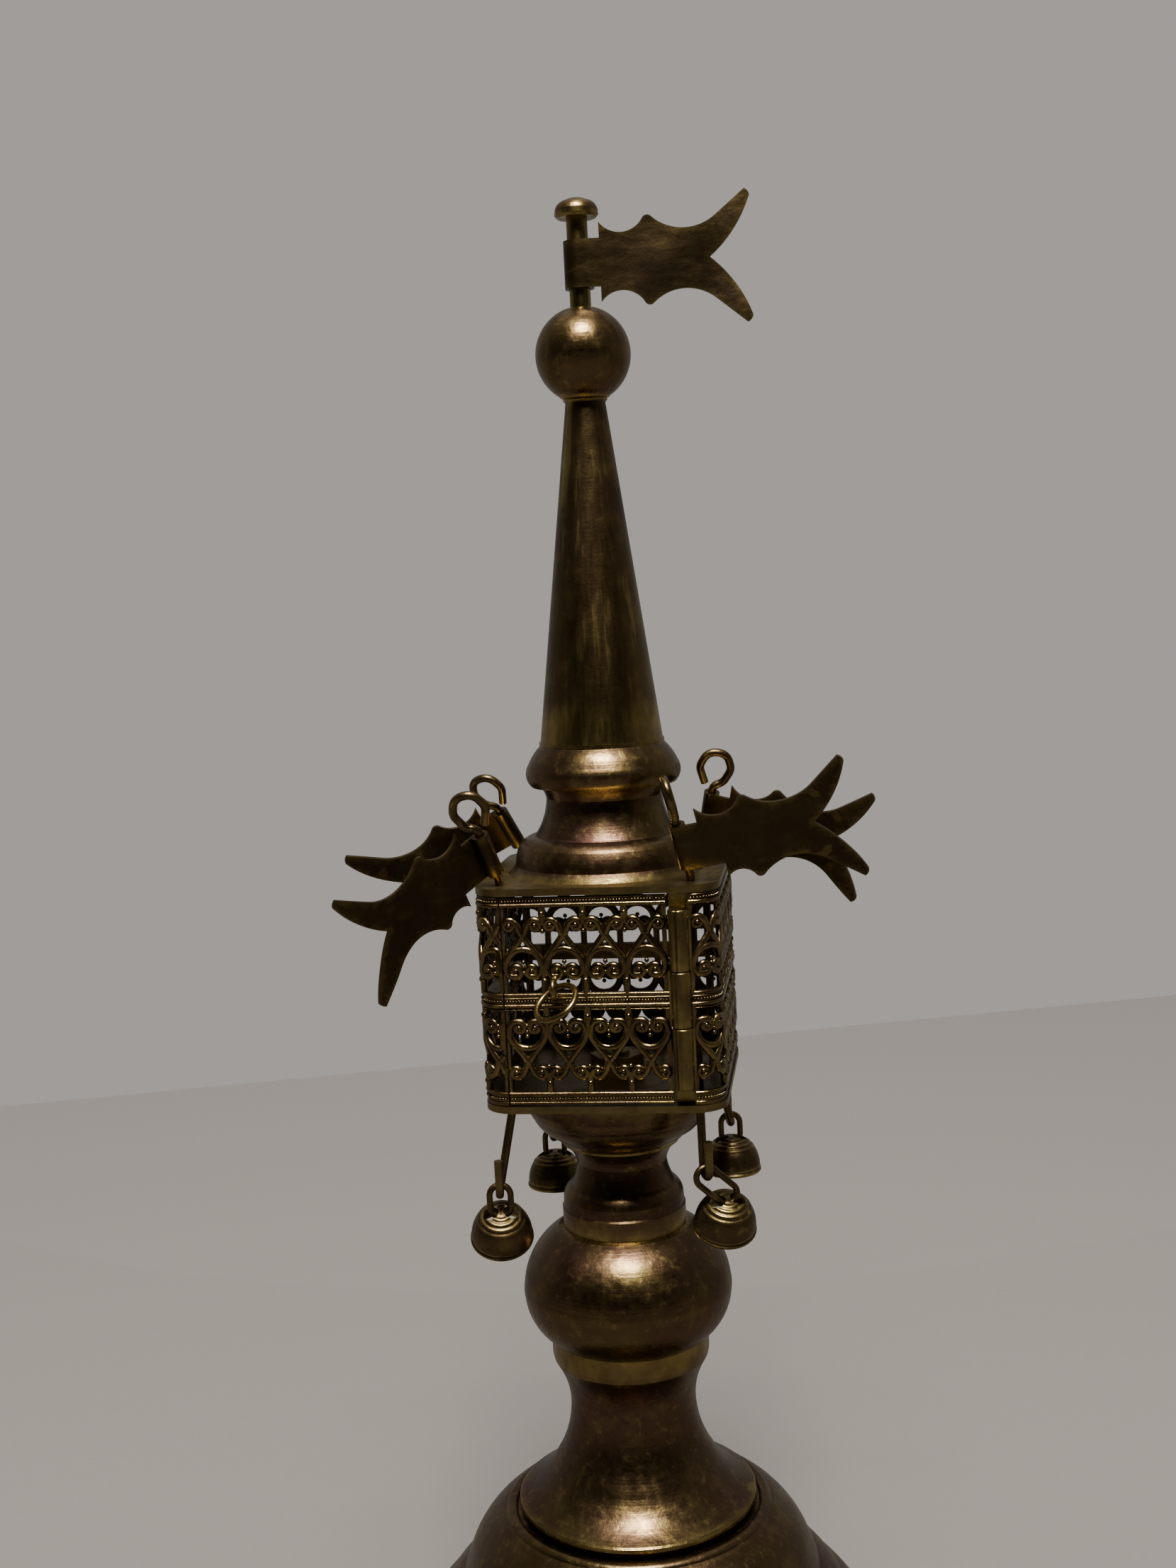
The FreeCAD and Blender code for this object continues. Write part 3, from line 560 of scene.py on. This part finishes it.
def make_leaf():
    """The case's hinge leaf: a plain strip behind the barrels, from floor to roof."""
    low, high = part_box("case_knuckle_lower")
    bottom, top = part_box("floor_plate")[1].z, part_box("roof_plate")[0].z
    gap = 0.05 * MM
    left, right = low.x + gap, high.x - gap
    front = high.y + gap
    shape = bmesh.new()
    for vertex in bmesh.ops.create_cube(shape, size=1.0)["verts"]:
        vertex.co = Vector(((left + right) / 2 + vertex.co.x * (right - left),
                            front + (vertex.co.y + 0.5) * LEAF_THICK * MM,
                            (bottom + top) / 2 + vertex.co.z * (top - bottom)))
    bmesh.ops.bevel(shape, geom=shape.edges[:], offset=0.07 * MM, segments=2, affect="EDGES")
    finished("hinge_leaf", shape, HINGE, "tower")


# ---------------------------------------------------------------- pennants
GRID = 0.7
FLAT_REACH, FULL_WAVE_REACH = 2.5, 8.5  # no wave nearer the roll than the first, all of it past the second


def make_pennant(node, joint_name, phase, wave):
    """The CAD's pennant, cut into a fine grid and gently waved away from its roll."""
    joint = JOINTS[joint_name]
    origin = Vector(joint["pos_m"])
    axis = Vector(joint["axis"]).normalized()
    shape = bmesh.new()
    shape.from_mesh(NODES[node].data)
    bmesh.ops.remove_doubles(shape, verts=shape.verts, dist=1e-6)
    middle = sum((v.co for v in shape.verts), Vector()) / len(shape.verts) - origin
    reach = (middle - axis * middle.dot(axis)).normalized()
    normal = axis.cross(reach)
    for way, first, last in ((reach, 1, 27), (axis, -11, 11)):
        for index in range(first, last + 1):
            bmesh.ops.bisect_plane(shape, geom=shape.verts[:] + shape.edges[:] + shape.faces[:],
                                   plane_co=origin + way * (index * GRID * MM), plane_no=way)
    for vertex in shape.verts:
        place = vertex.co - origin
        out, up = place.dot(reach) / MM, place.dot(axis) / MM
        ease = min(max((out - FLAT_REACH) / (FULL_WAVE_REACH - FLAT_REACH), 0.0), 1.0) ** 2
        bend = math.sin(out * 0.42 + phase) + 0.55 * math.sin(up * 0.6 - out * 0.25 + 2 * phase)
        vertex.co += normal * (ease * wave * bend * MM)
    finished(node + "_sheet", shape, PENNANT, NODES[node]["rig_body"], [node], 38)


# ---------------------------------------------------------------- bells
BELL_SIDES = 72
BELL_RADIUS, BELL_HEIGHT, BELL_WALL, BELL_HANG = 3.65, 4.3, 0.33, 0.46
BELL_HOLE, BELL_HOLE_OFFSET, DRILL_LONG = 0.92, 1.17, 2.2
BELL_ROCK = {"front_left": 28, "front_right": 24, "back_right": 0, "back_left": 0}
CAD_BELL_WALL = 0.35
GROOVE_DEEP, GROOVE_PITCH = 0.055, 0.12  # the pitch is a share of the quarter turn from lip to crown


def bell_profile(steps=44):
    """The bell's closed half section, as (radius, height): lip, outside up to the crown, inside down."""
    outside = []
    for step in range(steps + 1):
        share = step / steps
        angle = share * math.pi / 2
        r = (BELL_RADIUS - 0.12) * math.cos(angle) ** 0.80
        z = BELL_HEIGHT * 0.14 + BELL_HEIGHT * 0.86 * math.sin(angle)
        if 0.45 < share < 0.93:
            groove = GROOVE_DEEP * math.sin((share - 0.45) * 2 * math.pi / GROOVE_PITCH)
            r += groove * math.cos(angle)
            z += groove * math.sin(angle)
        outside.append((max(r, 0.0), min(z, BELL_HEIGHT)))
    lip = [(BELL_RADIUS - BELL_WALL, 0.0), (BELL_RADIUS - 0.08, 0.0), (BELL_RADIUS, 0.12), (BELL_RADIUS, 0.30),
           (BELL_RADIUS - 0.16, 0.46), (BELL_RADIUS - 0.14, 0.62)]
    inside = [(max(r - BELL_WALL, 0.0), z - BELL_WALL * (z / BELL_HEIGHT)) for r, z in reversed(outside)]
    outside[-1] = (0.0, BELL_HEIGHT)
    inside[0] = (0.0, BELL_HEIGHT - BELL_WALL)
    return lip + outside + inside


def loose_object(name, shape):
    """A bmesh as an object that isn't a piece yet."""
    mesh = bpy.data.meshes.new(name)
    shape.to_mesh(mesh)
    shape.free()
    made = bpy.data.objects.new(name, mesh)
    bpy.context.scene.collection.objects.link(made)
    return made


def make_bell(name):
    """A spun bell with fine grooves round its crown, a rolled lip and two holes for its link."""
    node = "bell_" + name
    joint = JOINTS["bell_swing_" + name]
    across = Vector(joint["axis"]).normalized()
    crown = Matrix.Rotation(math.radians(BELL_ROCK[name]), 3, across) @ Vector((0, 0, 1))
    front = crown.cross(across)
    centre = Vector(joint["pos_m"]) - crown * ((BELL_HEIGHT - CAD_BELL_WALL - BELL_HANG) * MM)

    def place(r, turn, z):
        return centre + (across * (r * math.cos(turn)) + front * (r * math.sin(turn)) + crown * z) * MM

    shape = bmesh.new()
    columns = []
    for r, z in bell_profile():
        if r == 0.0:
            columns.append([shape.verts.new(place(0.0, 0.0, z))])
            continue
        columns.append([shape.verts.new(place(r, 2 * math.pi * k / BELL_SIDES, z)) for k in range(BELL_SIDES)])
    for first, second in zip(columns, columns[1:] + columns[:1]):
        if len(first) == 1 and len(second) == 1:
            continue
        for k in range(BELL_SIDES):
            after = (k + 1) % BELL_SIDES
            corners = [first[k % len(first)], first[after % len(first)], second[after % len(second)],
                       second[k % len(second)]]
            shape.faces.new(list(dict.fromkeys(corners)))
    bmesh.ops.recalc_face_normals(shape, faces=shape.faces)
    blank = loose_object("bell_blank", shape)
    drills = []
    for way in (-1, 1):
        bar = bmesh.new()
        spot = place(BELL_HOLE_OFFSET * way, 0.0, BELL_HEIGHT)
        stand = Matrix.Translation(spot) @ crown.to_track_quat("Z", "Y").to_matrix().to_4x4()
        bmesh.ops.create_cone(bar, cap_ends=True, segments=28, radius1=BELL_HOLE * MM,
                              radius2=BELL_HOLE * MM, depth=DRILL_LONG * MM, matrix=stand)
        drills.append(loose_object("drill", bar))
        hole = blank.modifiers.new("hole", "BOOLEAN")
        hole.operation = "DIFFERENCE"
        hole.object = drills[-1]
        hole.solver = "EXACT"
    bpy.context.view_layer.update()
    bored = bpy.data.meshes.new_from_object(blank.evaluated_get(bpy.context.evaluated_depsgraph_get()))
    shape = bmesh.new()
    shape.from_mesh(bored)
    for spare in [blank, *drills]:
        bpy.data.objects.remove(spare)
    finished(node + "_spun", shape, BELL, node, [node], 40)


# ---------------------------------------------------------------- the pieces
for row in frame["record"]["subparts"]:
    cad = NODES[row["node"]]
    soften(cad.data, 35)
    paint(cad, LOOK_OF_SLOT[row["material_slot"]])
paint(NODES["spire"], SPIRE)
# the floor and roof plates get the darker brass of painted shade
for plate in ("floor_plate", "roof_plate"):
    paint(NODES[plate], SHADED_PLATE)
for wire in ("door_ring", "door_eye"):
    paint(NODES[wire], PULL)

make_door()
make_case()
make_leaf()
for shift, knuckle in enumerate(("case_knuckle_lower", "door_knuckle", "case_knuckle_upper")):
    make_barrel(knuckle, 14 * shift)
make_pennant("flag_top", "top_pennant_spin", 0.4, 0.20)
for phase, corner in enumerate(("front_left", "front_right", "back_right", "back_left")):
    make_pennant("flag_" + corner, "pennant_swing_" + corner, 0.9 + 1.3 * phase, 0.22)
    make_bell(corner)


# ---------------------------------------------------------------- floor, light and camera
def stage_material(name, colour):
    """Plain matt paper, which the metal reflects darker than it looks."""
    material, g, shader = new_material(name)
    here = g.node("ShaderNodeTexCoord").outputs["Object"]
    paper = g.noise(here, 900, 3.0)
    pale = g.mix(g.span(paper, 0.35, 0.65), colour, rgb(*[c * 0.97 for c in colour[:3]]))
    in_metal = g.node("ShaderNodeLightPath").outputs["Is Glossy Ray"]
    g.plug(g.mix(in_metal, pale, rgb(*[c * 0.45 for c in colour[:3]])), shader.inputs["Base Color"])
    relief = g.node("ShaderNodeBump", {"Height": paper, "Strength": 0.2, "Distance": 0.0001})
    g.plug(relief.outputs["Normal"], shader.inputs["Normal"])
    shader.inputs["Roughness"].default_value = 0.85
    return material


def sheet_of(name, corners, material):
    mesh = bpy.data.meshes.new(name)
    mesh.from_pydata(corners, [], [(0, 1, 2, 3)])
    piece = bpy.data.objects.new(name, mesh)
    bpy.context.scene.collection.objects.link(piece)
    piece.data.materials.append(material)


# the floor's far edge runs where the photograph shows the seam between table and wall
FLOOR_Z = CAD_BOX[0].z - 0.05 * MM
FLOOR_REACH = 1.5
SEAM_RIGHT_Y, SEAM_LEFT_Y = 0.78, -0.192
sheet_of("floor", [(-FLOOR_REACH, -FLOOR_REACH, FLOOR_Z), (FLOOR_REACH, -FLOOR_REACH, FLOOR_Z),
                   (FLOOR_REACH, SEAM_RIGHT_Y, FLOOR_Z), (-FLOOR_REACH, SEAM_LEFT_Y, FLOOR_Z)],
         stage_material("pale_paper", rgb(0.100, 0.0925, 0.0885)))


def light(name, place, aim, size, watts, colour):
    lamp = bpy.data.lights.new(name, "AREA")
    lamp.shape = "RECTANGLE"
    lamp.size, lamp.size_y = size
    lamp.energy = watts
    lamp.color = colour
    holder = bpy.data.objects.new(name, lamp)
    holder.location = place
    holder.rotation_mode = "QUATERNION"
    holder.rotation_quaternion = (Vector(aim) - Vector(place)).to_track_quat("-Z", "Y")
    bpy.context.scene.collection.objects.link(holder)


MIDDLE = (0.0, 0.0, 0.09)
light("overhead", (0.03, -0.225, 0.565), MIDDLE, (0.15, 0.12), 7.0, (1.0, 0.95, 0.86))
light("floor_glow", (0.0, 0.25, 0.9), (0.0, 0.1, 0.0), (0.8, 0.8), 0.6, (1.0, 0.98, 0.95))

# the room shows pale behind the tower, is dim in the metal's reflections, most of all from the
# camera's side, and fills the floor with an even light
ROOM = rgb(0.405, 0.38, 0.36)
world = bpy.data.worlds.new("studio")
bpy.context.scene.world = world
world.use_nodes = True
g = Graph(world.node_tree)


def background(colour, strength):
    return g.node("ShaderNodeBackground", {"Color": colour, "Strength": strength}).outputs["Background"]


def choice(wanted, usual, then):
    return g.node("ShaderNodeMixShader", {0: wanted, 1: usual, 2: then}).outputs["Shader"]


seen = background(ROOM, 1.0)
fill = background(ROOM, 7.0)
split = g.node("ShaderNodeSeparateXYZ", {0: g.node("ShaderNodeTexCoord").outputs["Generated"]})
fade = g.node("ShaderNodeMapRange", {
    "Value": split.outputs["Y"], "From Min": -0.95, "From Max": 0.7, "To Min": 0.02, "To Max": 0.55},
    interpolation_type="SMOOTHSTEP")
dim = background(rgb(0.42, 0.40, 0.38), fade.outputs["Result"])
ray = g.node("ShaderNodeLightPath").outputs
surface = choice(ray["Is Diffuse Ray"], choice(ray["Is Glossy Ray"], seen, dim), fill)
g.plug(surface, world.node_tree.nodes["World Output"].inputs["Surface"])

# the camera, fitted to the photograph's view of the box, the rings and the ruler
eye = Vector((27.55, -204.2, 131.4)) * MM
forward = Vector((-0.1417, 0.9834, -0.1132)).normalized()
level_right = forward.cross(Vector((0, 0, 1))).normalized()
level_up = level_right.cross(forward)
lean = math.radians(2.84)
up = level_up * math.cos(lean) + level_right * math.sin(lean)
right = level_right * math.cos(lean) - level_up * math.sin(lean)
lens = bpy.data.cameras.new("camera")
lens.sensor_width = 36.0
lens.lens = 40.69
lens.clip_start = 0.005
lens.clip_end = 20.0
camera = bpy.data.objects.new("camera", lens)
camera.matrix_world = Matrix((
    (right.x, up.x, -forward.x, eye.x), (right.y, up.y, -forward.y, eye.y),
    (right.z, up.z, -forward.z, eye.z), (0, 0, 0, 1)))
bpy.context.scene.collection.objects.link(camera)
bpy.context.scene.camera = camera
